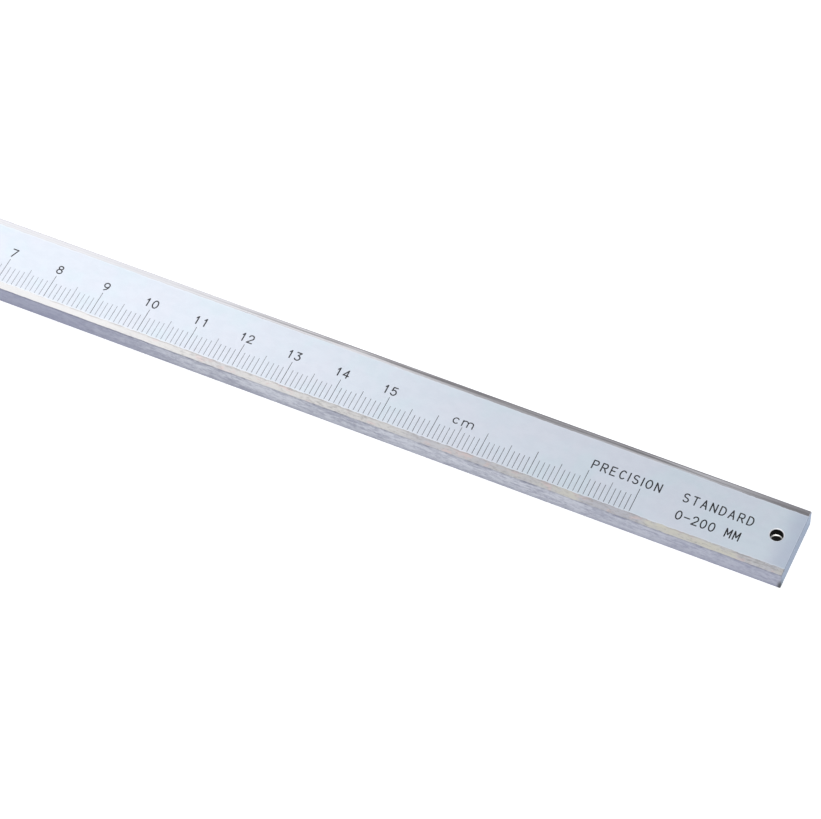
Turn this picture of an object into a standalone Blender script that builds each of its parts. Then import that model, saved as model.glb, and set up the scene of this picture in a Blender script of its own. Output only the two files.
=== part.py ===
"""A steel ruler with a 200 mm centimetre scale.

The ruler is one flat steel bar. A shallow bevel is ground along both long edges of its face, a stepped
hanging hole goes through its far end, and the scale and its lettering are engraved into the face. The
fillings of the centimetre lines, of the numerals and of the unit mark are solids of their own, each lying
in its groove with a small clearance.

The ruler lies on its back: +X along the scale, +Y across the width, +Z out of the face. The origin is
under the middle of the bar, on the surface that it lies on. Sizes are in metres.
"""

import math

import bmesh
import bpy
from mathutils import Matrix, Vector

MM = 0.001

# The bar
BAR_LENGTH = 230.0 * MM
BAR_WIDTH = 15.0 * MM
BAR_THICKNESS = 4.4 * MM
FACE_WIDTH = 12.13 * MM  # the flat face between the two bevels
BEVEL_DROP = 0.28 * MM  # how far each bevel falls from the face to the side
EDGE_BREAK = 0.15 * MM  # the small chamfer on every sharp edge
EDGE_BREAK_ANGLE = math.radians(50)  # the shallow folds of the bevels stay crisp

# The hanging hole, stepped part of the way down
HOLE_INSET = 3.9 * MM  # from the far end to the hole's axis
HOLE_OFF_CENTRE = 0.15 * MM  # the axis lies a little towards the far edge
HOLE_RADIUS = 1.25 * MM
HOLE_LOWER_RADIUS = 1.05 * MM
HOLE_STEP_DEPTH = 1.85 * MM
HOLE_STEP_SLOPE = math.radians(31)  # the cone that a drill's point leaves on the step
HOLE_CHAMFER = 0.15 * MM
HOLE_SIDES = 32

# The engraving
ENGRAVING_DEPTH = 0.10 * MM
FILLING_CLEARANCE = 0.01 * MM  # between a filling and the walls and floor of its groove
FILLING_RECESS = 0.005 * MM  # how far a filling's top lies below the face
CUTTER_RISE = 0.2 * MM  # how far a cutter stands out of the surface that it cuts

# The scale
SCALE_ZERO_X = -BAR_LENGTH / 2  # the scale counts from the square end of the bar
SCALE_MILLIMETRES = 200
LINE_WIDTH = 0.12 * MM
LINE_FOOT_Y = -FACE_WIDTH / 2 + 0.20 * MM
MILLIMETRE_LINE = 3.58 * MM
HALF_CENTIMETRE_LINE = 4.55 * MM
CENTIMETRE_LINE = 5.25 * MM

# The numerals and the unit mark, cut with a round-nosed tool
LAST_NUMERAL = 15
STROKE_WIDTH = 0.26 * MM
DIGIT_HEIGHT = 2.0 * MM
DIGIT_WIDTH = 1.30 * MM
NARROW_DIGIT_WIDTH = 0.58 * MM  # the 1, from its flag to its stem
TENS_STEM_X = -1.06 * MM  # from a centimetre line to the stem of the 1 before a second digit
UNITS_CENTRE_X = 0.45 * MM  # from a centimetre line to the middle of that second digit
NUMERAL_SHIFTS = {11: 0.45 * MM, 12: 0.15 * MM, 15: -0.22 * MM}  # set a little off their lines
DIGIT_FOOT_Y = -FACE_WIDTH / 2 + 5.97 * MM
UNIT_X = SCALE_ZERO_X + 162.75 * MM
UNIT_FOOT_Y = -FACE_WIDTH / 2 + 4.95 * MM
UNIT_HEIGHT = 1.45 * MM
UNIT_C_WIDTH = 1.30 * MM
UNIT_M_WIDTH = 2.30 * MM
UNIT_GAP = 0.55 * MM
UNIT_STROKE = 0.23 * MM

# The lettering near the hole: its words, where they start on the scale, the height of their feet
# above the lower border of the face, and the space between their letters
LETTERING = (
    ("PRECISION", 190.0 * MM, 5.97 * MM, 0.54 * MM),
    ("STANDARD", 207.8 * MM, 5.97 * MM, 0.52 * MM),
    ("0-200 MM", 207.9 * MM, 2.02 * MM, 0.34 * MM),
)
LETTER_HEIGHT = 2.05 * MM
LETTER_WIDTH = 1.25 * MM
LETTERING_STROKE = 0.255 * MM

CURVE_STEP = math.radians(26)
STROKE_END_STEPS = 4

FACE_Z = BAR_THICKNESS

# Colour, roughness and metallic value
STEEL = ((0.68, 0.71, 0.76, 1.0), 0.38, 1.0)
BLACK_FILLING = ((0.03, 0.03, 0.035, 1.0), 0.60, 0.0)


def clear_scene():
    for old in list(bpy.data.objects):
        bpy.data.objects.remove(old, do_unlink=True)


def new_collection(name):
    collection = bpy.data.collections.new(name)
    bpy.context.scene.collection.children.link(collection)
    return collection


def new_material(name, finish):
    colour, roughness, metallic = finish
    material = bpy.data.materials.new(name)
    material.use_nodes = True
    shader = material.node_tree.nodes["Principled BSDF"]
    shader.inputs["Base Color"].default_value = colour
    shader.inputs["Roughness"].default_value = roughness
    shader.inputs["Metallic"].default_value = metallic
    return material


def place(name, mesh, collection, location=(0.0, 0.0, 0.0)):
    piece = bpy.data.objects.new(name, mesh)
    piece.location = location
    collection.objects.link(piece)
    return piece


def hide_cutter(cutter):
    cutter.hide_render = True
    cutter.display_type = "WIRE"


def solid_outline(name, loops, low, high):
    """A flat outline made solid between two heights. Loops after the first are holes in it."""
    curve = bpy.data.curves.new(name, "CURVE")
    curve.dimensions = "2D"
    curve.fill_mode = "BOTH"
    curve.extrude = (high - low) / 2
    for loop in loops:
        spline = curve.splines.new("POLY")
        spline.points.add(len(loop) - 1)
        spline.use_cyclic_u = True
        spline.use_smooth = False
        for point, (x, y) in zip(spline.points, loop):
            point.co = (x, y, 0.0, 1.0)
    outline = bpy.data.objects.new(name, curve)
    bpy.context.scene.collection.objects.link(outline)
    mesh = evaluated_mesh(outline)
    bpy.data.objects.remove(outline, do_unlink=True)
    welded = bmesh.new()
    welded.from_mesh(mesh)
    bmesh.ops.remove_doubles(welded, verts=welded.verts, dist=1e-7)
    bmesh.ops.translate(welded, vec=(0.0, 0.0, (high + low) / 2), verts=welded.verts)
    bmesh.ops.recalc_face_normals(welded, faces=welded.faces)
    welded.to_mesh(mesh)
    welded.free()
    return mesh


def evaluated_mesh(piece):
    """The mesh of an object with its modifiers applied."""
    depsgraph = bpy.context.evaluated_depsgraph_get()
    depsgraph.update()
    return bpy.data.meshes.new_from_object(piece.evaluated_get(depsgraph))


def united(name, meshes):
    """One closed mesh from several that run into each other."""
    parts = []
    for mesh in meshes:
        part = bpy.data.objects.new(name, mesh)
        bpy.context.scene.collection.objects.link(part)
        parts.append(part)
    for part in parts[1:]:
        union = parts[0].modifiers.new("union", "BOOLEAN")
        union.operation = "UNION"
        union.solver = "EXACT"
        union.object = part
    mesh = evaluated_mesh(parts[0])
    for part in parts:
        bpy.data.objects.remove(part, do_unlink=True)
    return mesh


# Strokes. A glyph is a list of smooth paths in a box one unit wide and one unit high.


def arc(centre_x, centre_y, radius_x, radius_y, start, end):
    """Points along part of an ellipse, from one angle to another in degrees."""
    span = math.radians(end - start)
    steps = max(2, math.ceil(abs(span) / CURVE_STEP))
    angles = [math.radians(start) + span * step / steps for step in range(steps + 1)]
    return [(centre_x + radius_x * math.cos(a), centre_y + radius_y * math.sin(a)) for a in angles]


def ring(centre_x, centre_y, radius_x, radius_y):
    """A closed ellipse: its last point is its first."""
    points = arc(centre_x, centre_y, radius_x, radius_y, 0, 360)
    return points[:-1] + points[:1]


GLYPHS = {
    "0": [ring(0.50, 0.50, 0.50, 0.50)],
    "1": [[(0.0, 0.76), (1.0, 1.0)], [(1.0, 1.0), (1.0, 0.0)]],
    "2": [arc(0.50, 0.70, 0.46, 0.30, 170, -30) + [(0.0, 0.0)], [(0.0, 0.0), (1.0, 0.0)]],
    "3": [
        [(0.06, 1.0), (0.92, 1.0)],
        [(0.92, 1.0), (0.42, 0.61)],
        [(0.42, 0.61)] + arc(0.47, 0.305, 0.50, 0.305, 75, -150),
    ],
    "4": [[(0.72, 0.0), (0.72, 1.0)], [(0.72, 1.0), (0.0, 0.30)], [(0.0, 0.30), (1.0, 0.30)]],
    "5": [
        [(0.90, 1.0), (0.16, 1.0)],
        [(0.16, 1.0), (0.08, 0.54)],
        arc(0.47, 0.33, 0.50, 0.33, 140, -150),
    ],
    "6": [ring(0.50, 0.30, 0.50, 0.30), arc(0.92, 0.30, 0.92, 0.70, 180, 104)],
    "7": [[(0.0, 1.0), (1.0, 1.0)], [(1.0, 1.0), (0.34, 0.0)]],
    "8": [ring(0.50, 0.78, 0.41, 0.22), ring(0.50, 0.28, 0.50, 0.28)],
    "9": [ring(0.50, 0.70, 0.50, 0.30), arc(0.08, 0.70, 0.92, 0.70, 0, -76)],
    "-": [[(0.0, 0.50), (1.0, 0.50)]],
    "A": [[(0.0, 0.0), (0.50, 1.0)], [(0.50, 1.0), (1.0, 0.0)], [(0.19, 0.34), (0.81, 0.34)]],
    "C": [arc(0.54, 0.50, 0.54, 0.50, 46, 314)],
    "D": [
        [(0.0, 0.0), (0.0, 1.0)],
        [(0.0, 1.0)] + arc(0.40, 0.50, 0.60, 0.50, 90, -90) + [(0.0, 0.0)],
    ],
    "E": [
        [(0.92, 1.0), (0.0, 1.0)],
        [(0.0, 1.0), (0.0, 0.0)],
        [(0.0, 0.0), (0.92, 0.0)],
        [(0.0, 0.52), (0.72, 0.52)],
    ],
    "I": [[(0.50, 0.0), (0.50, 1.0)]],
    "M": [
        [(0.0, 0.0), (0.0, 1.0)],
        [(0.0, 1.0), (0.50, 0.30)],
        [(0.50, 0.30), (1.0, 1.0)],
        [(1.0, 1.0), (1.0, 0.0)],
    ],
    "N": [[(0.0, 0.0), (0.0, 1.0)], [(0.0, 1.0), (1.0, 0.0)], [(1.0, 0.0), (1.0, 1.0)]],
    "O": [ring(0.50, 0.50, 0.54, 0.50)],
    "P": [
        [(0.0, 0.0), (0.0, 1.0)],
        [(0.0, 1.0)] + arc(0.62, 0.74, 0.38, 0.26, 90, -90) + [(0.0, 0.48)],
    ],
    "R": [
        [(0.0, 0.0), (0.0, 1.0)],
        [(0.0, 1.0)] + arc(0.62, 0.74, 0.36, 0.26, 90, -90) + [(0.0, 0.48)],
        [(0.50, 0.48), (1.0, 0.0)],
    ],
    "S": [
        arc(0.50, 0.755, 0.47, 0.245, 35, 230) + arc(0.50, 0.255, 0.48, 0.255, 50, -150),
    ],
    "T": [[(0.0, 1.0), (1.0, 1.0)], [(0.50, 1.0), (0.50, 0.0)]],
    "c": [arc(0.50, 0.50, 0.50, 0.50, 42, 318)],
    "m": [
        [(0.0, 0.0), (0.0, 1.0)],
        arc(0.25, 0.66, 0.25, 0.34, 180, 0) + [(0.50, 0.0)],
        arc(0.75, 0.66, 0.25, 0.34, 180, 0) + [(1.0, 0.0)],
    ],
}


def offset_path(path, distance, closed):
    """The path moved sideways by a distance, to its left where that is positive."""
    count = len(path)
    moved = []
    for index, point in enumerate(path):
        before = path[index - 1] if index > 0 or closed else None
        after = path[(index + 1) % count] if index < count - 1 or closed else None
        ahead = (after - point).normalized() if after is not None else (point - before).normalized()
        behind = (point - before).normalized() if before is not None else ahead
        tangent = (ahead + behind).normalized()
        normal = Vector((-tangent.y, tangent.x))
        stretch = max(0.5, tangent.dot(ahead))
        moved.append(point + normal * (distance / stretch))
    return moved


def round_end(path, radius):
    """The points round the last end of a path, from its left side to its right."""
    ahead = (path[-1] - path[-2]).normalized()
    left = math.atan2(ahead.x, -ahead.y)
    angles = [left - math.pi * step / STROKE_END_STEPS for step in range(1, STROKE_END_STEPS)]
    return [path[-1] + radius * Vector((math.cos(a), math.sin(a))) for a in angles]


def stroke_mesh(path, radius, low, high):
    """A stroke of even width along a path, with round ends, or a ring where the path is closed."""
    if path[0] == path[-1]:
        loop = path[:-1]
        loops = [offset_path(loop, -radius, True), offset_path(loop, radius, True)]
    else:
        left = offset_path(path, radius, False)
        right = offset_path(path, -radius, False)
        backwards = path[::-1]
        loops = [left + round_end(path, radius) + right[::-1] + round_end(backwards, radius)]
    return solid_outline("stroke", loops, low, high)


def glyph_mesh(character, size, tool_width, stroke_width, low, high):
    """A glyph that a tool cuts into a box of this size. Its lower left corner is at the origin."""
    half_tool = tool_width / 2
    run = size[0] - tool_width
    rise = size[1] - tool_width
    meshes = []
    for path in GLYPHS[character]:
        points = [Vector((half_tool + run * x, half_tool + rise * y)) for x, y in path]
        meshes.append(stroke_mesh(points, stroke_width / 2, low, high))
    return united(f"glyph_{character}", meshes)


def line_mesh(name, width, length, low, high):
    """A scale line standing on the origin, along +Y."""
    line = bmesh.new()
    bmesh.ops.create_cube(line, size=1.0)
    bmesh.ops.scale(line, vec=(width, length, high - low), verts=line.verts)
    bmesh.ops.translate(line, vec=(0.0, length / 2, (high + low) / 2), verts=line.verts)
    mesh = bpy.data.meshes.new(name)
    line.to_mesh(mesh)
    line.free()
    return mesh


# Where the marks are. Each is a name, a kind of glyph or line, and the place of its foot.


def scale_x(millimetres):
    return SCALE_ZERO_X + millimetres * MM


def line_length(millimetre):
    if millimetre % 10 == 0:
        return CENTIMETRE_LINE
    if millimetre % 5 == 0:
        return HALF_CENTIMETRE_LINE
    return MILLIMETRE_LINE


def numeral_places():
    """The name, the character and the place of each digit of the numerals."""
    for number in range(1, LAST_NUMERAL + 1):
        line_x = scale_x(10 * number) + NUMERAL_SHIFTS.get(number, 0.0)
        tens, units = divmod(number, 10)
        if tens == 0:
            x = line_x - glyph_width(str(units)) / 2
            yield f"numeral_{number:02d}", str(units), (x, DIGIT_FOOT_Y, 0.0)
            continue
        x = line_x + TENS_STEM_X - NARROW_DIGIT_WIDTH + STROKE_WIDTH / 2
        yield f"numeral_{number:02d}_tens", str(tens), (x, DIGIT_FOOT_Y, 0.0)
        x = line_x + UNITS_CENTRE_X - glyph_width(str(units)) / 2
        yield f"numeral_{number:02d}_units", str(units), (x, DIGIT_FOOT_Y, 0.0)


def unit_places():
    yield "unit_mark_c", "c", (UNIT_X, UNIT_FOOT_Y, 0.0)
    yield "unit_mark_m", "m", (UNIT_X + UNIT_C_WIDTH + UNIT_GAP, UNIT_FOOT_Y, 0.0)


def letter_places():
    """The character and the place of each letter near the hole."""
    for words, start, rise, space in LETTERING:
        x = SCALE_ZERO_X + start
        for character in words:
            if character != " ":
                yield character, (x, rise - FACE_WIDTH / 2, 0.0)
            x += letter_width(character) + space


def letter_width(character):
    return LETTERING_STROKE if character == "I" else LETTER_WIDTH


def glyph_width(character):
    odd_widths = {"1": NARROW_DIGIT_WIDTH, "c": UNIT_C_WIDTH, "m": UNIT_M_WIDTH}
    return odd_widths.get(character, DIGIT_WIDTH)


def scale_glyphs(slack, low, high):
    """One mesh for each character of the numerals and the unit mark, its strokes thinned by a slack."""
    glyphs = {}
    for character in "0123456789cm":
        in_unit = character in "cm"
        size = (glyph_width(character), UNIT_HEIGHT if in_unit else DIGIT_HEIGHT)
        tool = UNIT_STROKE if in_unit else STROKE_WIDTH
        glyphs[character] = glyph_mesh(character, size, tool, tool - slack, low, high)
    return glyphs


def letter_glyphs(low, high):
    """One mesh for each character of the lettering near the hole."""
    glyphs = {}
    for character in sorted({character for character, _ in letter_places()}):
        size = (letter_width(character), LETTER_HEIGHT)
        glyphs[character] = glyph_mesh(
            character, size, LETTERING_STROKE, LETTERING_STROKE, low, high
        )
    return glyphs


# The pieces


def bar_blank():
    """The bar before it is drilled and engraved: its cross-section drawn out along X."""
    half_width = BAR_WIDTH / 2
    half_face = FACE_WIDTH / 2
    shoulder = BAR_THICKNESS - BEVEL_DROP
    section = [
        (-half_width, 0.0),
        (half_width, 0.0),
        (half_width, shoulder),
        (half_face, BAR_THICKNESS),
        (-half_face, BAR_THICKNESS),
        (-half_width, shoulder),
    ]
    mesh = solid_outline("ruler_bar", [section], -BAR_LENGTH / 2, BAR_LENGTH / 2)
    upright = Matrix.Rotation(math.pi / 2, 4, "X")
    along_x = Matrix.Rotation(math.pi / 2, 4, "Z")
    mesh.transform(along_x @ upright)
    return mesh


def hole_cutter(collection):
    """The hanging hole, turned from its profile: chamfer, upper bore, cone, lower bore, chamfer."""
    wide_top = HOLE_RADIUS + HOLE_CHAMFER + CUTTER_RISE
    wide_bottom = HOLE_LOWER_RADIUS + HOLE_CHAMFER + CUTTER_RISE
    step_z = FACE_Z - HOLE_STEP_DEPTH
    cone_foot_z = step_z - (HOLE_RADIUS - HOLE_LOWER_RADIUS) * math.tan(HOLE_STEP_SLOPE)
    profile = [
        (0.0, FACE_Z + CUTTER_RISE),
        (wide_top, FACE_Z + CUTTER_RISE),
        (HOLE_RADIUS, FACE_Z - HOLE_CHAMFER),
        (HOLE_RADIUS, step_z),
        (HOLE_LOWER_RADIUS, cone_foot_z),
        (HOLE_LOWER_RADIUS, HOLE_CHAMFER),
        (wide_bottom, -CUTTER_RISE),
        (0.0, -CUTTER_RISE),
    ]
    mesh = bpy.data.meshes.new("hole_cutter")
    points = [(radius, 0.0, z) for radius, z in profile]
    mesh.from_pydata(points, [(i, i + 1) for i in range(len(points) - 1)], [])
    cutter = place("hole_cutter", mesh, collection, (BAR_LENGTH / 2 - HOLE_INSET, HOLE_OFF_CENTRE, 0.0))
    turn = cutter.modifiers.new("turn", "SCREW")
    turn.steps = HOLE_SIDES
    turn.render_steps = HOLE_SIDES
    turn.use_merge_vertices = True
    turn.merge_threshold = 1e-6
    hide_cutter(cutter)
    return cutter


def engraving_cutter(collection):
    """Every groove of the scale and the lettering, as one set of separate solids."""
    low = FACE_Z - ENGRAVING_DEPTH
    high = FACE_Z + CUTTER_RISE
    grooves = bmesh.new()
    lines = {}
    for millimetre in range(1, SCALE_MILLIMETRES + 1):
        length = line_length(millimetre)
        if length not in lines:
            lines[length] = line_mesh("line_groove", LINE_WIDTH, length, low, high)
        add_copy(grooves, lines[length], (scale_x(millimetre), LINE_FOOT_Y, 0.0))
    glyphs = scale_glyphs(0.0, low, high)
    for places in (numeral_places(), unit_places()):
        for _, character, foot in places:
            add_copy(grooves, glyphs[character], foot)
    letters = letter_glyphs(low, high)
    for character, foot in letter_places():
        add_copy(grooves, letters[character], foot)
    mesh = bpy.data.meshes.new("engraving_cutter")
    grooves.to_mesh(mesh)
    grooves.free()
    cutter = place("engraving_cutter", mesh, collection)
    hide_cutter(cutter)
    return cutter


def add_copy(target, mesh, location):
    """Adds a mesh to a bmesh at a place."""
    copy = mesh.copy()
    copy.transform(Matrix.Translation(location))
    target.from_mesh(copy)
    bpy.data.meshes.remove(copy)


def make_bar(collection, cutters):
    bar = place("ruler_bar", bar_blank(), collection)
    bar.data.materials.clear()
    bar.data.materials.append(new_material("steel", STEEL))
    break_edges = bar.modifiers.new("break_edges", "BEVEL")
    break_edges.width = EDGE_BREAK
    break_edges.segments = 1
    break_edges.limit_method = "ANGLE"
    break_edges.angle_limit = EDGE_BREAK_ANGLE
    for cutter in (hole_cutter(cutters), engraving_cutter(cutters)):
        cut = bar.modifiers.new(cutter.name, "BOOLEAN")
        cut.operation = "DIFFERENCE"
        cut.solver = "EXACT"
        cut.object = cutter


def fill_marks(collection):
    """The black fillings of the centimetre lines, the numerals and the unit mark."""
    low = FACE_Z - ENGRAVING_DEPTH + FILLING_CLEARANCE
    high = FACE_Z - FILLING_RECESS
    slack = 2 * FILLING_CLEARANCE
    black = new_material("black_filling", BLACK_FILLING)
    line = line_mesh("centimetre_line", LINE_WIDTH - slack, CENTIMETRE_LINE - slack, low, high)
    line.materials.append(black)
    for centimetre in range(1, SCALE_MILLIMETRES // 10 + 1):
        foot = (scale_x(10 * centimetre), LINE_FOOT_Y + FILLING_CLEARANCE, 0.0)
        place(f"centimetre_line_{centimetre:02d}", line, collection, foot)
    glyphs = scale_glyphs(slack, low, high)
    for mesh in glyphs.values():
        mesh.materials.clear()
        mesh.materials.append(black)
    for places in (numeral_places(), unit_places()):
        for name, character, foot in places:
            place(name, glyphs[character], collection, foot)


def main():
    clear_scene()
    pieces = new_collection("steel_ruler")
    cutters = new_collection("cutters")
    make_bar(pieces, cutters)
    fill_marks(pieces)


main()
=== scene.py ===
"""The looks of the steel ruler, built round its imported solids.

The bar, its centimetre lines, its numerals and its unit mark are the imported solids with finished
materials. The fillings of the short lines are made by Geometry Nodes, and the fillings of the lettering
are poured into the grooves that the bar has for them. Sizes are in metres.
"""

import math

import bmesh
import bpy
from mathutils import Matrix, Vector


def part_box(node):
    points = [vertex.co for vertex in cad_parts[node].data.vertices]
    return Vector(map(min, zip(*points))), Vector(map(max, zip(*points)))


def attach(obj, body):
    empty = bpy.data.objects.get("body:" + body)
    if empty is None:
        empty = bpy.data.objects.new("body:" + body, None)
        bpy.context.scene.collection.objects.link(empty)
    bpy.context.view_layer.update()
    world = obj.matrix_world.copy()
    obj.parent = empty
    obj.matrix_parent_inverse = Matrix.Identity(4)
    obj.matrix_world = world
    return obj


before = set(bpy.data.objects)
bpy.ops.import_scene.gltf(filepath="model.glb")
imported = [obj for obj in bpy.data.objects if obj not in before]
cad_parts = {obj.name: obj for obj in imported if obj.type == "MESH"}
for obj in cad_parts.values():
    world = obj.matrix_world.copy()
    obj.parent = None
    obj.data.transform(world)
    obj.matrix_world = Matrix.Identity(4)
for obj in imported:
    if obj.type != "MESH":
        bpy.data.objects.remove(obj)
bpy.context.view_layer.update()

MM = 0.001
scene = bpy.context.scene

# ---------------------------------------------------------------- the ruler's own sizes

BAR_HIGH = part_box("ruler_bar")[1]
FACE_Z = BAR_HIGH.z
HALF_WIDTH = BAR_HIGH.y
HALF_LENGTH = BAR_HIGH.x
BEVEL_WIDTH = 1.435 * MM
HALF_FACE = HALF_WIDTH - BEVEL_WIDTH  # to the fold where each ground bevel starts

FIRST_LINE_LOW, FIRST_LINE_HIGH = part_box("centimetre_line_01")
LAST_LINE_LOW, LAST_LINE_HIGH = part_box("centimetre_line_20")
CENTIMETRE = (LAST_LINE_LOW.x - FIRST_LINE_LOW.x) / 19
MILLIMETRE = CENTIMETRE / 10
SCALE_START = (FIRST_LINE_LOW.x + FIRST_LINE_HIGH.x) / 2 - CENTIMETRE
LINE_WIDTH = FIRST_LINE_HIGH.x - FIRST_LINE_LOW.x
LINE_FOOT = FIRST_LINE_LOW.y
LINE_TOP = FIRST_LINE_HIGH.z
LINE_BOTTOM = FIRST_LINE_LOW.z
MILLIMETRE_LINE = 3.56 * MM
HALF_CENTIMETRE_LINE = 4.53 * MM

GROOVE_DEPTH = 0.10 * MM
GROOVE_FLOOR = FACE_Z - GROOVE_DEPTH
GROOVE_TOLERANCE = 0.01 * MM
LETTERING_START = SCALE_START + 189.5 * MM
LETTERING_FOOT_BESIDE_SCALE = -HALF_FACE + 5.8 * MM
LETTERING_PAST_SCALE = LAST_LINE_HIGH.x + 2.0 * MM

HOLE_X = HALF_LENGTH - 3.9 * MM
HOLE_Y = 0.15 * MM
HOLE_RIM = 1.41 * MM  # over the hole's chamfer
CHAMFER_TOP = FACE_Z - 0.13 * MM
CHAMFER_BOTTOM = FACE_Z - 0.17 * MM
LEDGE_Z = FACE_Z - 1.91 * MM

# where the finishes and the painted shade change: each pair is the start and the end of a change,
# along x from the bar's middle, or along z from its back
SATIN_SHADE_RANGE = (HALF_LENGTH - 5.5 * MM, HALF_LENGTH - 0.2 * MM)
END_SHADE = (HALF_LENGTH - 23.0 * MM, HALF_LENGTH)
MIDDLE_SHADE_STARTS = (24.0 * MM, 56.0 * MM)
MIDDLE_SHADE_STOPS = (64.0 * MM, 90.0 * MM)
EVEN_START = (34.0 * MM, -20.0 * MM)
LIGHTER_START = (8.0 * MM, -28.0 * MM)
STRAW_END = (45.0 * MM, 85.0 * MM)
SIDE_SHADE_START = (4.0 * MM, -36.0 * MM)
SIDE_SHADE_END = (60.0 * MM, 110.0 * MM)
RUBBED_START = (85.0 * MM, -65.0 * MM)
LOW_SHADE = (1.8 * MM, 0.1 * MM)
CORNER_STRETCH = (2.6, 1.3, 0.85)  # the painted shade at the corner reaches furthest where this is smallest


# ---------------------------------------------------------------- material building


class Nodes:
    """Adds nodes to one tree. A method's inputs may be numbers, colours or other nodes' outputs."""

    def __init__(self, tree):
        self.tree = tree
        tree.nodes.clear()

    def add(self, kind, settings=None, **inputs):
        node = self.tree.nodes.new(kind)
        for key, value in (settings or {}).items():
            setattr(node, key, value)
        for key, value in inputs.items():
            self.feed(node.inputs[key.replace("_", " ")], value)
        return node

    def feed(self, socket, value):
        if isinstance(value, bpy.types.NodeSocket):
            self.tree.links.new(value, socket)
        else:
            socket.default_value = value

    def math(self, operation, first, second=0.0, third=0.0, clamp=False):
        node = self.add("ShaderNodeMath", {"operation": operation, "use_clamp": clamp})
        for socket, value in zip(node.inputs, (first, second, third)):
            self.feed(socket, value)
        return node.outputs[0]

    def blend(self, amount, first, second, mode="MIX"):
        node = self.add("ShaderNodeMix", {"data_type": "RGBA", "blend_type": mode})
        self.feed(node.inputs["Factor"], amount)
        self.feed(node.inputs["A"], first)
        self.feed(node.inputs["B"], second)
        return node.outputs["Result"]

    def blend_value(self, amount, first, second):
        node = self.add("ShaderNodeMix", {"data_type": "FLOAT"})
        self.feed(node.inputs["Factor"], amount)
        self.feed(node.inputs["A"], first)
        self.feed(node.inputs["B"], second)
        return node.outputs["Result"]

    def step(self, value, low, high):
        """0 below low and 1 above high, with a smooth rise between."""
        node = self.add("ShaderNodeMapRange", {"interpolation_type": "SMOOTHSTEP"})
        for name, item in (("Value", value), ("From Min", low), ("From Max", high)):
            self.feed(node.inputs[name], item)
        return node.outputs["Result"]

    def fall(self, value, low, high):
        """1 below low and 0 above high, with a smooth fall between."""
        return self.math("SUBTRACT", 1.0, self.step(value, low, high))

    def noise(self, place, scale, stretch=(1.0, 1.0, 1.0), detail=2.0, roughness=0.5, seed=0.0):
        """Noise of that many cells a metre, stretched along an axis where its factor is below 1."""
        mapping = self.add("ShaderNodeMapping")
        self.feed(mapping.inputs["Vector"], place)
        mapping.inputs["Location"].default_value = (seed, 1.7 * seed, -seed)
        mapping.inputs["Scale"].default_value = stretch
        node = self.add("ShaderNodeTexNoise")
        self.feed(node.inputs["Vector"], mapping.outputs["Vector"])
        node.inputs["Scale"].default_value = scale
        node.inputs["Detail"].default_value = detail
        node.inputs["Roughness"].default_value = roughness
        return node.outputs["Fac"]

    def bump(self, height, distance, strength=1.0, under=None):
        node = self.add("ShaderNodeBump")
        self.feed(node.inputs["Height"], height)
        node.inputs["Distance"].default_value = distance
        node.inputs["Strength"].default_value = strength
        if under is not None:
            self.feed(node.inputs["Normal"], under)
        return node.outputs["Normal"]


def new_material(name):
    material = bpy.data.materials.new(name)
    material.use_nodes = True
    nodes = Nodes(material.node_tree)
    shader = nodes.add("ShaderNodeBsdfPrincipled")
    output = nodes.add("ShaderNodeOutputMaterial")
    nodes.feed(output.inputs["Surface"], shader.outputs["BSDF"])
    return material, nodes, shader


# ---------------------------------------------------------------- the finishes

SATIN_CHROME = (0.730, 0.768, 0.830, 1.0)
SATIN_CHROME_PINK = (0.738, 0.763, 0.826, 1.0)
SATIN_CHROME_BLUE = (0.712, 0.774, 0.828, 1.0)
MOTTLE = (0.955, 0.96, 0.965, 1.0)  # how much the faint spots of the satin darken it
SATIN_PAINTED_END_SHADE = (0.80, 0.83, 0.88, 1.0)  # painted shade: how much the satin darkens towards the far end
FOLD_PAINTED_HIGHLIGHT = (0.86, 0.88, 0.92, 1.0)
FAR_BEVEL_LIGHT = (0.95, 0.930, 0.945, 1.0)
FAR_BEVEL_START = (0.71, 0.705, 0.725, 1.0)
FAR_BEVEL_DARK = (0.35, 0.330, 0.340, 1.0)
NEAR_BEVEL_LIGHT = (0.77, 0.760, 0.750, 1.0)
NEAR_BEVEL_CREAM = (0.64, 0.620, 0.600, 1.0)
NEAR_BEVEL_STRAW = (0.66, 0.630, 0.550, 1.0)
NEAR_BEVEL_PINK = (0.66, 0.560, 0.545, 1.0)
NEAR_BEVEL_GREY = (0.545, 0.535, 0.565, 1.0)
NEAR_BEVEL_DARK = (0.36, 0.345, 0.340, 1.0)
SIDE_LIGHT = (0.47, 0.485, 0.535, 1.0)
SIDE_DARK = (0.26, 0.270, 0.330, 1.0)
SIDE_PAINTED_SHADE = (0.22, 0.230, 0.325, 1.0)
CORNER_PAINTED_SHADE = (0.06, 0.063, 0.070, 1.0)
END_BLUE = (0.26, 0.300, 0.375, 1.0)
END_EDGE_TINT = (0.72, 0.790, 0.880, 1.0)  # how much light the sawn end gives back edge-on
BACK_LIGHT = (0.59, 0.605, 0.630, 1.0)
BACK_DARK = (0.51, 0.520, 0.540, 1.0)
RIM_BRIGHT = (0.93, 0.94, 0.97, 1.0)
BORE_PAINTED_SHADE = (0.004, 0.004, 0.005, 1.0)
LEDGE_PALE = (0.95, 0.94, 0.90, 1.0)


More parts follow.
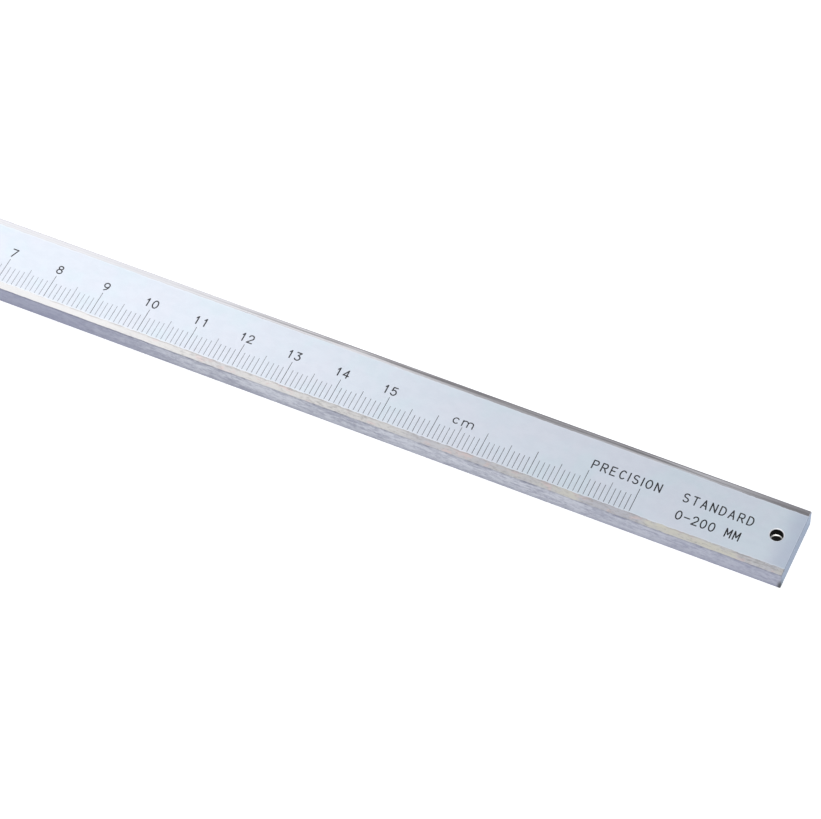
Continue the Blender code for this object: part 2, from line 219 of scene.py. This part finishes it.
def steel_regions(nodes, place, x, y, z):
    """A mask for each finish of the bar and for its painted highlight and shade, from where it lies.
    Ground edges end unevenly.
    """
    across = nodes.math("ABSOLUTE", y)
    along = nodes.math("ABSOLUTE", x)
    wander = nodes.noise(place, 420, (1.0, 0.02, 0.02), 6.0, 0.66, 3.1)
    off_line = nodes.math("SUBTRACT", wander, 0.5)
    border = nodes.math("MULTIPLY_ADD", off_line, 0.60 * MM, across)
    worn_side = nodes.math("MULTIPLY_ADD", off_line, 0.25 * MM, across)
    flat = nodes.add("ShaderNodeCombineXYZ", X=x, Y=y)
    centre = nodes.add("ShaderNodeVectorMath", {"operation": "DISTANCE"})
    nodes.feed(centre.inputs[0], flat.outputs[0])
    centre.inputs[1].default_value = (HOLE_X, HOLE_Y, 0.0)
    radius = centre.outputs["Value"]
    from_corner = nodes.add("ShaderNodeVectorMath", {"operation": "SUBTRACT"})
    nodes.feed(from_corner.inputs[0], place)
    from_corner.inputs[1].default_value = (HALF_LENGTH, -HALF_WIDTH, 0.5 * MM)
    drawn_out = nodes.add("ShaderNodeVectorMath", {"operation": "MULTIPLY"})
    nodes.feed(drawn_out.inputs[0], from_corner.outputs["Vector"])
    drawn_out.inputs[1].default_value = CORNER_STRETCH
    corner = nodes.add("ShaderNodeVectorMath", {"operation": "LENGTH"})
    nodes.feed(corner.inputs[0], drawn_out.outputs["Vector"])
    near_axis = nodes.fall(radius, HOLE_RIM, HOLE_RIM + 0.03 * MM)
    below_rim = nodes.fall(z, CHAMFER_BOTTOM, CHAMFER_TOP)
    ledge_gap = nodes.math("ABSOLUTE", nodes.math("SUBTRACT", z, LEDGE_Z))
    return {
        "bevel": nodes.step(border, HALF_FACE - 0.03 * MM, HALF_FACE + 0.05 * MM),
        "fold": nodes.math(
            "SUBTRACT",
            nodes.step(border, HALF_FACE - 0.30 * MM, HALF_FACE - 0.10 * MM),
            nodes.step(border, HALF_FACE - 0.06 * MM, HALF_FACE + 0.02 * MM),
        ),
        "far": nodes.step(y, -1.0 * MM, 1.0 * MM),
        "side": nodes.step(worn_side, HALF_WIDTH - 0.18 * MM, HALF_WIDTH - 0.11 * MM),
        "end": nodes.step(along, HALF_LENGTH - 0.10 * MM, HALF_LENGTH - 0.04 * MM),
        "back": nodes.fall(z, 0.05 * MM, 0.12 * MM),
        "fold_shadow": nodes.math(
            "SUBTRACT",
            nodes.step(border, HALF_FACE + 0.02 * MM, HALF_FACE + 0.10 * MM),
            nodes.step(border, HALF_FACE + 0.16 * MM, HALF_FACE + 0.34 * MM),
        ),
        # painted shade at the lower near corner of the far end
        "corner": nodes.fall(corner.outputs["Value"], 0.5 * MM, 2.4 * MM),
        "rim": near_axis,
        "bore": nodes.math("MULTIPLY", near_axis, below_rim),
        "ledge": nodes.math("MULTIPLY", nodes.fall(ledge_gap, 0.07 * MM, 0.09 * MM), near_axis),
    }


def steel_colour(nodes, place, x, z, region, streaks):
    """The colour of each finish, with the painted highlight and shade, put together by region."""
    speckle = nodes.noise(place, 2600, (0.35, 1.0, 1.0), 4.0, 0.7, 12.6)
    clouds = nodes.noise(place, 110, (1.0, 1.0, 1.0), 3.0, 0.55, 1.3)
    satin = nodes.blend(nodes.step(clouds, 0.50, 0.62), SATIN_CHROME, SATIN_CHROME_PINK)
    satin = nodes.blend(nodes.step(clouds, 0.50, 0.38), satin, SATIN_CHROME_BLUE)
    mottle = nodes.step(nodes.noise(place, 620, (0.7, 1.0, 1.0), 4.0, 0.65, 21.7), 0.40, 0.62)
    mottled = nodes.blend(1.0, satin, MOTTLE, "MULTIPLY")
    satin = nodes.blend(nodes.math("MULTIPLY", mottle, 0.6), satin, mottled)
    # painted shade: the satin darkened over the last few millimetres before the far end
    uneven_x = nodes.math("MULTIPLY_ADD", nodes.math("SUBTRACT", clouds, 0.5), 5.0 * MM, x)
    satin_end_shade = nodes.step(uneven_x, *SATIN_SHADE_RANGE)
    satin = nodes.blend(satin_end_shade, satin, nodes.blend(1.0, satin, SATIN_PAINTED_END_SHADE, "MULTIPLY"))
    # painted highlight: a pale line on the face just inside each fold
    satin = nodes.blend(nodes.math("MULTIPLY", region["fold"], 0.35), satin, FOLD_PAINTED_HIGHLIGHT)

    # the ground faces: long stripes left by the wheel, and short stained patches
    stripes = nodes.noise(place, 2300, (0.004, 1.0, 1.0), 3.0, 0.55, 6.1)
    patches = nodes.noise(place, 260, (0.45, 1.0, 1.0), 4.0, 0.60, 2.2)
    stain = nodes.noise(place, 42, (1.0, 1.0, 1.0), 2.0, 0.5, 8.4)
    flecks = nodes.noise(place, 640, (0.5, 1.0, 1.0), 3.0, 0.6, 15.2)
    striped = nodes.math("MULTIPLY_ADD", stripes, 0.65, nodes.math("MULTIPLY", streaks, 0.35))
    patched = nodes.math("MULTIPLY_ADD", patches, 0.5, nodes.math("MULTIPLY", streaks, 0.5))
    specked = nodes.math("MULTIPLY_ADD", patched, 0.45, nodes.math("MULTIPLY", speckle, 0.55))

    far = nodes.blend(nodes.step(striped, 0.42, 0.57), FAR_BEVEL_DARK, FAR_BEVEL_LIGHT)
    # painted shade: the far bevel darkened towards the far end and along a stretch in the middle
    end_shade = nodes.step(x, *END_SHADE)
    middle_shade = nodes.math(
        "SUBTRACT", nodes.step(x, *MIDDLE_SHADE_STARTS), nodes.step(x, *MIDDLE_SHADE_STOPS)
    )
    shade = nodes.math("MAXIMUM", end_shade, nodes.math("MULTIPLY", middle_shade, 0.75))
    far = nodes.blend(nodes.math("MULTIPLY", shade, 0.76), far, FAR_BEVEL_DARK)
    even_start = nodes.math("MULTIPLY", nodes.step(x, *EVEN_START), 0.90)
    far = nodes.blend(even_start, far, FAR_BEVEL_START)
    near = nodes.blend(nodes.step(stain, 0.42, 0.60), NEAR_BEVEL_GREY, NEAR_BEVEL_CREAM)
    straw = nodes.math("MULTIPLY", nodes.step(x, *STRAW_END), nodes.step(patches, 0.44, 0.60))
    near = nodes.blend(straw, near, NEAR_BEVEL_STRAW)
    near = nodes.blend(nodes.step(flecks, 0.54, 0.68), near, NEAR_BEVEL_PINK)
    near = nodes.blend(nodes.step(specked, 0.54, 0.32), near, NEAR_BEVEL_DARK)
    # the near bevel made lighter towards the start of the scale
    lighter_start = nodes.math("MULTIPLY", nodes.step(x, *LIGHTER_START), 0.85)
    near = nodes.blend(lighter_start, near, NEAR_BEVEL_LIGHT)
    broken = nodes.math("MULTIPLY_ADD", flecks, 0.5, nodes.math("MULTIPLY", stain, 0.5))
    gaps = nodes.math("MULTIPLY", nodes.step(broken, 0.44, 0.58), 0.5)
    fold_shadow = nodes.math("MULTIPLY", gaps, region["fold_shadow"])
    near = nodes.blend(fold_shadow, near, NEAR_BEVEL_DARK)
    side = nodes.blend(nodes.step(specked, 0.40, 0.58), SIDE_DARK, SIDE_LIGHT)
    low_shade = nodes.step(z, *LOW_SHADE)
    side = nodes.blend(nodes.math("MULTIPLY", low_shade, 0.60), side, SIDE_DARK)
    # painted shade: the side darkened towards the start of the scale and, less, towards the far end
    far_side_painted_shade = nodes.math("MULTIPLY", nodes.step(x, *SIDE_SHADE_END), 0.55)
    side_painted_shade = nodes.math("MAXIMUM", nodes.step(x, *SIDE_SHADE_START), far_side_painted_shade)
    side = nodes.blend(nodes.math("MULTIPLY", side_painted_shade, 0.72), side, SIDE_PAINTED_SHADE)
    end = nodes.blend(nodes.step(specked, 0.38, 0.54), SIDE_DARK, END_BLUE)
    back = nodes.blend(nodes.step(striped, 0.38, 0.62), BACK_DARK, BACK_LIGHT)

    colour = nodes.blend(region["bevel"], satin, nodes.blend(region["far"], near, far))
    for name, finish in (
        ("side", side),
        ("end", end),
        ("back", back),
        # painted shade in the corner, below
        ("corner", CORNER_PAINTED_SHADE),
        ("rim", RIM_BRIGHT),
        # painted shade: the hole's bore below its chamfer made black
        ("bore", BORE_PAINTED_SHADE),
        ("ledge", LEDGE_PALE),
    ):
        colour = nodes.blend(region[name], colour, finish)
    return colour


def steel_finish():
    """The bar: satin chrome on the face, ground bevels and sides, a plain brushed back."""
    material, nodes, shader = new_material("steel_finish")
    place = nodes.add("ShaderNodeTexCoord").outputs["Object"]
    x, y, z = nodes.add("ShaderNodeSeparateXYZ", Vector=place).outputs
    region = steel_regions(nodes, place, x, y, z)
    streaks = nodes.noise(place, 1500, (0.035, 1.0, 1.0), 4.0, 0.6, 7.7)
    nodes.feed(shader.inputs["Base Color"], steel_colour(nodes, place, x, z, region, streaks))
    burr = nodes.math("SUBTRACT", region["rim"], region["bore"])
    nodes.feed(shader.inputs["Metallic"], nodes.math("MULTIPLY_ADD", burr, -0.6, 1.0))

    edge_tint = nodes.blend(region["end"], (1.0, 1.0, 1.0, 1.0), END_EDGE_TINT)
    nodes.feed(shader.inputs["Specular Tint"], edge_tint)

    fine = nodes.noise(place, 9000, (1.0, 1.0, 1.0), 2.0, 0.5, 0.4)
    satin_rough = nodes.math("MULTIPLY_ADD", fine, 0.12, 0.34)
    ground_rough = nodes.math("MULTIPLY_ADD", streaks, 0.20, 0.20)
    sides = nodes.math("MAXIMUM", region["side"], region["end"])
    ground = nodes.math("MAXIMUM", nodes.math("MAXIMUM", region["bevel"], sides), region["back"])
    roughness = nodes.blend_value(ground, satin_rough, ground_rough)
    nodes.feed(shader.inputs["Roughness"], nodes.math("MULTIPLY_ADD", region["bore"], 0.12, roughness))

    # surface: a fine blasted grain on the face, long scratches on the ground faces
    grain = nodes.bump(fine, 0.004 * MM, 0.5)
    scratch_lines = nodes.noise(place, 5200, (0.012, 1.0, 1.0), 3.0, 0.6, 5.5)
    scratch_depth = nodes.math("MULTIPLY_ADD", region["back"], -0.6, ground)
    scratches = nodes.bump(nodes.math("MULTIPLY", scratch_lines, scratch_depth), 0.012 * MM, 0.6, grain)
    nodes.feed(shader.inputs["Normal"], scratches)
    return material


def filling_finish(name, fresh, worn, start_wear):
    """Matt black paint in the marks, greyer where it is rubbed, and more so near the scale's start."""
    material, nodes, shader = new_material(name)
    place = nodes.add("ShaderNodeTexCoord").outputs["Object"]
    x = nodes.add("ShaderNodeSeparateXYZ", Vector=place).outputs["X"]
    specks = nodes.noise(place, 2600, (1.0, 1.0, 1.0), 4.0, 0.65, 4.0)
    patches = nodes.noise(place, 330, (1.0, 1.0, 1.0), 2.0, 0.5, 9.0)
    tone = nodes.math("MULTIPLY_ADD", specks, 0.6, nodes.math("MULTIPLY", patches, 0.4))
    worn_away = nodes.step(tone, 0.40, 0.66)
    rubbed = nodes.math("MULTIPLY", nodes.step(x, *RUBBED_START), start_wear)
    amount = nodes.math("MULTIPLY_ADD", worn_away, 0.45, rubbed, clamp=True)
    nodes.feed(shader.inputs["Base Color"], nodes.blend(amount, fresh, worn))
    nodes.feed(shader.inputs["Roughness"], nodes.math("MULTIPLY_ADD", specks, 0.3, 0.48))
    shader.inputs["Specular IOR Level"].default_value = 0.3
    nodes.feed(shader.inputs["Normal"], nodes.bump(specks, 0.01 * MM, 0.5))
    return material


# ---------------------------------------------------------------- the short lines of the scale


def tree_input(tree, name, kind, value):
    item = tree.interface.new_socket(name, in_out="INPUT", socket_type=kind)
    if value is not None:
        item.default_value = value
    return item


def scale_lines_tree():
    """A row of even bars standing on a foot line, with every so many of them left out."""
    tree = bpy.data.node_groups.new("scale_lines", "GeometryNodeTree")
    tree.interface.new_socket("Geometry", in_out="INPUT", socket_type="NodeSocketGeometry")
    tree_input(tree, "Count", "NodeSocketInt", 10)
    tree_input(tree, "Pitch", "NodeSocketFloat", MILLIMETRE)
    tree_input(tree, "First Place", "NodeSocketVector", (0.0, 0.0, 0.0))
    tree_input(tree, "Bar Size", "NodeSocketVector", (LINE_WIDTH, MILLIMETRE_LINE, 0.08 * MM))
    tree_input(tree, "Leave Out Every", "NodeSocketInt", 5)
    tree_input(tree, "Filling", "NodeSocketMaterial", None)
    tree.interface.new_socket("Geometry", in_out="OUTPUT", socket_type="NodeSocketGeometry")

    def node(kind, **settings):
        made = tree.nodes.new(kind)
        for key, value in settings.items():
            setattr(made, key, value)
        return made

    link = tree.links.new
    inputs = node("NodeGroupInput").outputs
    step = node("ShaderNodeCombineXYZ")
    link(inputs["Pitch"], step.inputs["X"])
    row = node("GeometryNodeMeshLine", mode="OFFSET")
    link(inputs["Count"], row.inputs["Count"])
    link(inputs["First Place"], row.inputs["Start Location"])
    link(step.outputs[0], row.inputs["Offset"])

    bar = node("GeometryNodeMeshCube")
    link(inputs["Bar Size"], bar.inputs["Size"])

    number = node("FunctionNodeIntegerMath", operation="ADD")
    number.inputs[1].default_value = 1
    link(node("GeometryNodeInputIndex").outputs[0], number.inputs[0])
    rest = node("FunctionNodeIntegerMath", operation="MODULO")
    link(number.outputs[0], rest.inputs[0])
    link(inputs["Leave Out Every"], rest.inputs[1])
    kept = node("FunctionNodeCompare", data_type="INT", operation="NOT_EQUAL")
    link(rest.outputs[0], kept.inputs["A"])

    copies = node("GeometryNodeInstanceOnPoints")
    link(row.outputs["Mesh"], copies.inputs["Points"])
    link(bar.outputs["Mesh"], copies.inputs["Instance"])
    link(kept.outputs[0], copies.inputs["Selection"])
    real = node("GeometryNodeRealizeInstances")
    link(copies.outputs["Instances"], real.inputs["Geometry"])
    painted = node("GeometryNodeSetMaterial")
    link(real.outputs["Geometry"], painted.inputs["Geometry"])
    link(inputs["Filling"], painted.inputs["Material"])
    link(painted.outputs["Geometry"], node("NodeGroupOutput").inputs["Geometry"])
    return tree


def scale_lines(name, tree, filling, **values):
    """One row of short lines, turned into a plain mesh."""
    carrier = bpy.data.objects.new(name + "_carrier", bpy.data.meshes.new(name + "_carrier"))
    scene.collection.objects.link(carrier)
    modifier = carrier.modifiers.new("scale_lines", "NODES")
    modifier.node_group = tree
    identifiers = {
        item.name: item.identifier
        for item in tree.interface.items_tree
        if item.item_type == "SOCKET" and item.in_out == "INPUT"
    }
    modifier[identifiers["Filling"]] = filling
    for key, value in values.items():
        modifier[identifiers[key.replace("_", " ")]] = value
    depsgraph = bpy.context.evaluated_depsgraph_get()
    depsgraph.update()
    mesh = bpy.data.meshes.new_from_object(carrier.evaluated_get(depsgraph))
    bpy.data.objects.remove(carrier, do_unlink=True)
    mesh.name = name
    piece = bpy.data.objects.new(name, mesh)
    scene.collection.objects.link(piece)
    return piece


def short_line_fillings(filling):
    tree = scale_lines_tree()
    height = LINE_TOP - LINE_BOTTOM
    middle_z = (LINE_TOP + LINE_BOTTOM) / 2
    millimetres = scale_lines(
        "millimetre_line_fillings",
        tree,
        filling,
        Count=199,
        Pitch=MILLIMETRE,
        First_Place=(SCALE_START + MILLIMETRE, LINE_FOOT + MILLIMETRE_LINE / 2, middle_z),
        Bar_Size=(LINE_WIDTH, MILLIMETRE_LINE, height),
        Leave_Out_Every=5,
    )
    halves = scale_lines(
        "half_centimetre_line_fillings",
        tree,
        filling,
        Count=20,
        Pitch=CENTIMETRE,
        First_Place=(SCALE_START + CENTIMETRE / 2, LINE_FOOT + HALF_CENTIMETRE_LINE / 2, middle_z),
        Bar_Size=(LINE_WIDTH, HALF_CENTIMETRE_LINE, height),
        Leave_Out_Every=1000,
    )
    return [millimetres, halves]


# ---------------------------------------------------------------- the lettering


def is_lettering_floor(face):
    centre = face.calc_center_median()
    if face.normal.z < 0.9 or abs(centre.z - GROOVE_FLOOR) > GROOVE_TOLERANCE:
        return False
    if centre.x < LETTERING_START:
        return False
    return centre.y > LETTERING_FOOT_BESIDE_SCALE or centre.x > LETTERING_PAST_SCALE


def poured_filling(name, bar, filling):
    """Paint poured into the bar's lettering: the grooves' floors raised almost to the face."""
    paint = bmesh.new()
    paint.from_mesh(bar.data)
    bmesh.ops.remove_doubles(paint, verts=paint.verts, dist=1e-7)
    paint.faces.ensure_lookup_table()
    others = [face for face in paint.faces if not is_lettering_floor(face)]
    bmesh.ops.delete(paint, geom=others, context="FACES")
    floor = list(paint.faces)
    raised = bmesh.ops.extrude_face_region(paint, geom=floor, use_keep_orig=True)
    top = [item for item in raised["geom"] if isinstance(item, bmesh.types.BMVert)]
    bmesh.ops.translate(paint, vec=(0, 0, LINE_TOP - GROOVE_FLOOR), verts=top)
    bmesh.ops.recalc_face_normals(paint, faces=paint.faces)
    mesh = bpy.data.meshes.new(name)
    paint.to_mesh(mesh)
    paint.free()
    mesh.materials.clear()
    mesh.materials.append(filling)
    piece = bpy.data.objects.new(name, mesh)
    scene.collection.objects.link(piece)
    return piece


# ---------------------------------------------------------------- floor, light and camera


def make_floor():
    mesh = bpy.data.meshes.new("floor")
    reach = 4.0
    corners = [(-reach, -reach, 0), (reach, -reach, 0), (reach, reach, 0), (-reach, reach, 0)]
    mesh.from_pydata(corners, [], [(0, 1, 2, 3)])
    floor = bpy.data.objects.new("floor", mesh)
    scene.collection.objects.link(floor)
    material, _, shader = new_material("pale_floor")
    shader.inputs["Base Color"].default_value = (0.82, 0.82, 0.82, 1)
    shader.inputs["Roughness"].default_value = 0.8
    shader.inputs["Specular IOR Level"].default_value = 0.1
    shader.inputs["Emission Color"].default_value = (1.0, 1.0, 1.0, 1)
    shader.inputs["Emission Strength"].default_value = 0.50
    mesh.materials.append(material)


WHITE_LIGHT = (1.0, 1.0, 1.0)
COOL_LIGHT = (0.92, 0.96, 1.0)


def make_softbox(name, place, target, size, watts, colour=WHITE_LIGHT):
    light = bpy.data.lights.new(name, "AREA")
    light.shape = "RECTANGLE"
    light.size, light.size_y = size
    light.energy = watts
    light.color = colour
    lamp = bpy.data.objects.new(name, light)
    lamp.location = place
    aim = Vector(target) - Vector(place)
    lamp.rotation_euler = aim.to_track_quat("-Z", "Y").to_euler()
    lamp.visible_camera = False
    scene.collection.objects.link(lamp)


def make_world():
    world = bpy.data.worlds.new("studio")
    scene.world = world
    world.use_nodes = True
    sky = world.node_tree.nodes["Background"]
    sky.inputs["Color"].default_value = (0.93, 0.95, 1.0, 1)
    sky.inputs["Strength"].default_value = 0.42


def make_camera():
    camera_data = bpy.data.cameras.new("camera")
    camera_data.sensor_width = 36.0
    camera_data.lens = 145.22
    camera_data.clip_start = 0.01
    camera = bpy.data.objects.new("camera", camera_data)
    camera.location = (0.2000, -0.30802, 0.50626)
    camera.rotation_euler = [math.radians(angle) for angle in (34.533, 1.835, 24.949)]
    scene.collection.objects.link(camera)
    scene.camera = camera


# ---------------------------------------------------------------- putting it together

scene.view_settings.view_transform = "Standard"
make_camera()
make_world()
make_floor()
make_softbox("left_softbox", (-0.4225, 0.12, 0.34), (-0.4225, 0.12, 0.0), (0.675, 0.38), 0.72)
make_softbox("left_back_softbox", (-0.46, 0.505, 0.34), (-0.46, 0.505, 0.0), (0.60, 0.39), 0.78)
make_softbox("back_softbox", (0.11, 0.12, 0.36), (0.11, 0.12, 0.0), (0.46, 0.38), 0.26, COOL_LIGHT)
make_softbox("front_softbox", (0.25, -0.47, 0.76), (0.111, 0.0, 0.0), (0.30, 0.30), 3.0)
make_softbox("right_softbox", (0.85, 0.44, 0.15), (0.115, 0.0, 0.0), (0.40, 0.30), 0.3)
make_softbox("low_front_softbox", (-0.15, -0.80, 0.40), (0.0, 0.0, 0.0), (0.90, 0.50), 0.9)

steel = steel_finish()
mark_black = filling_finish("mark_filling", (0.008, 0.008, 0.010, 1), (0.09, 0.09, 0.10, 1), 0.55)
line_black = filling_finish("line_filling", (0.02, 0.02, 0.022, 1), (0.26, 0.27, 0.29, 1), 0.5)
thin_black = filling_finish("short_line_filling", (0.07, 0.07, 0.075, 1), (0.42, 0.44, 0.48, 1), 0.75)
for name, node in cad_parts.items():
    finish = mark_black
    if name == "ruler_bar":
        finish = steel
    elif name.startswith("centimetre_line"):
        finish = line_black
    node.data.materials.clear()
    node.data.materials.append(finish)

lines = short_line_fillings(thin_black)
lettering = poured_filling("lettering_filling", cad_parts["ruler_bar"], mark_black)
for piece in lines + [lettering]:
    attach(piece, "root")
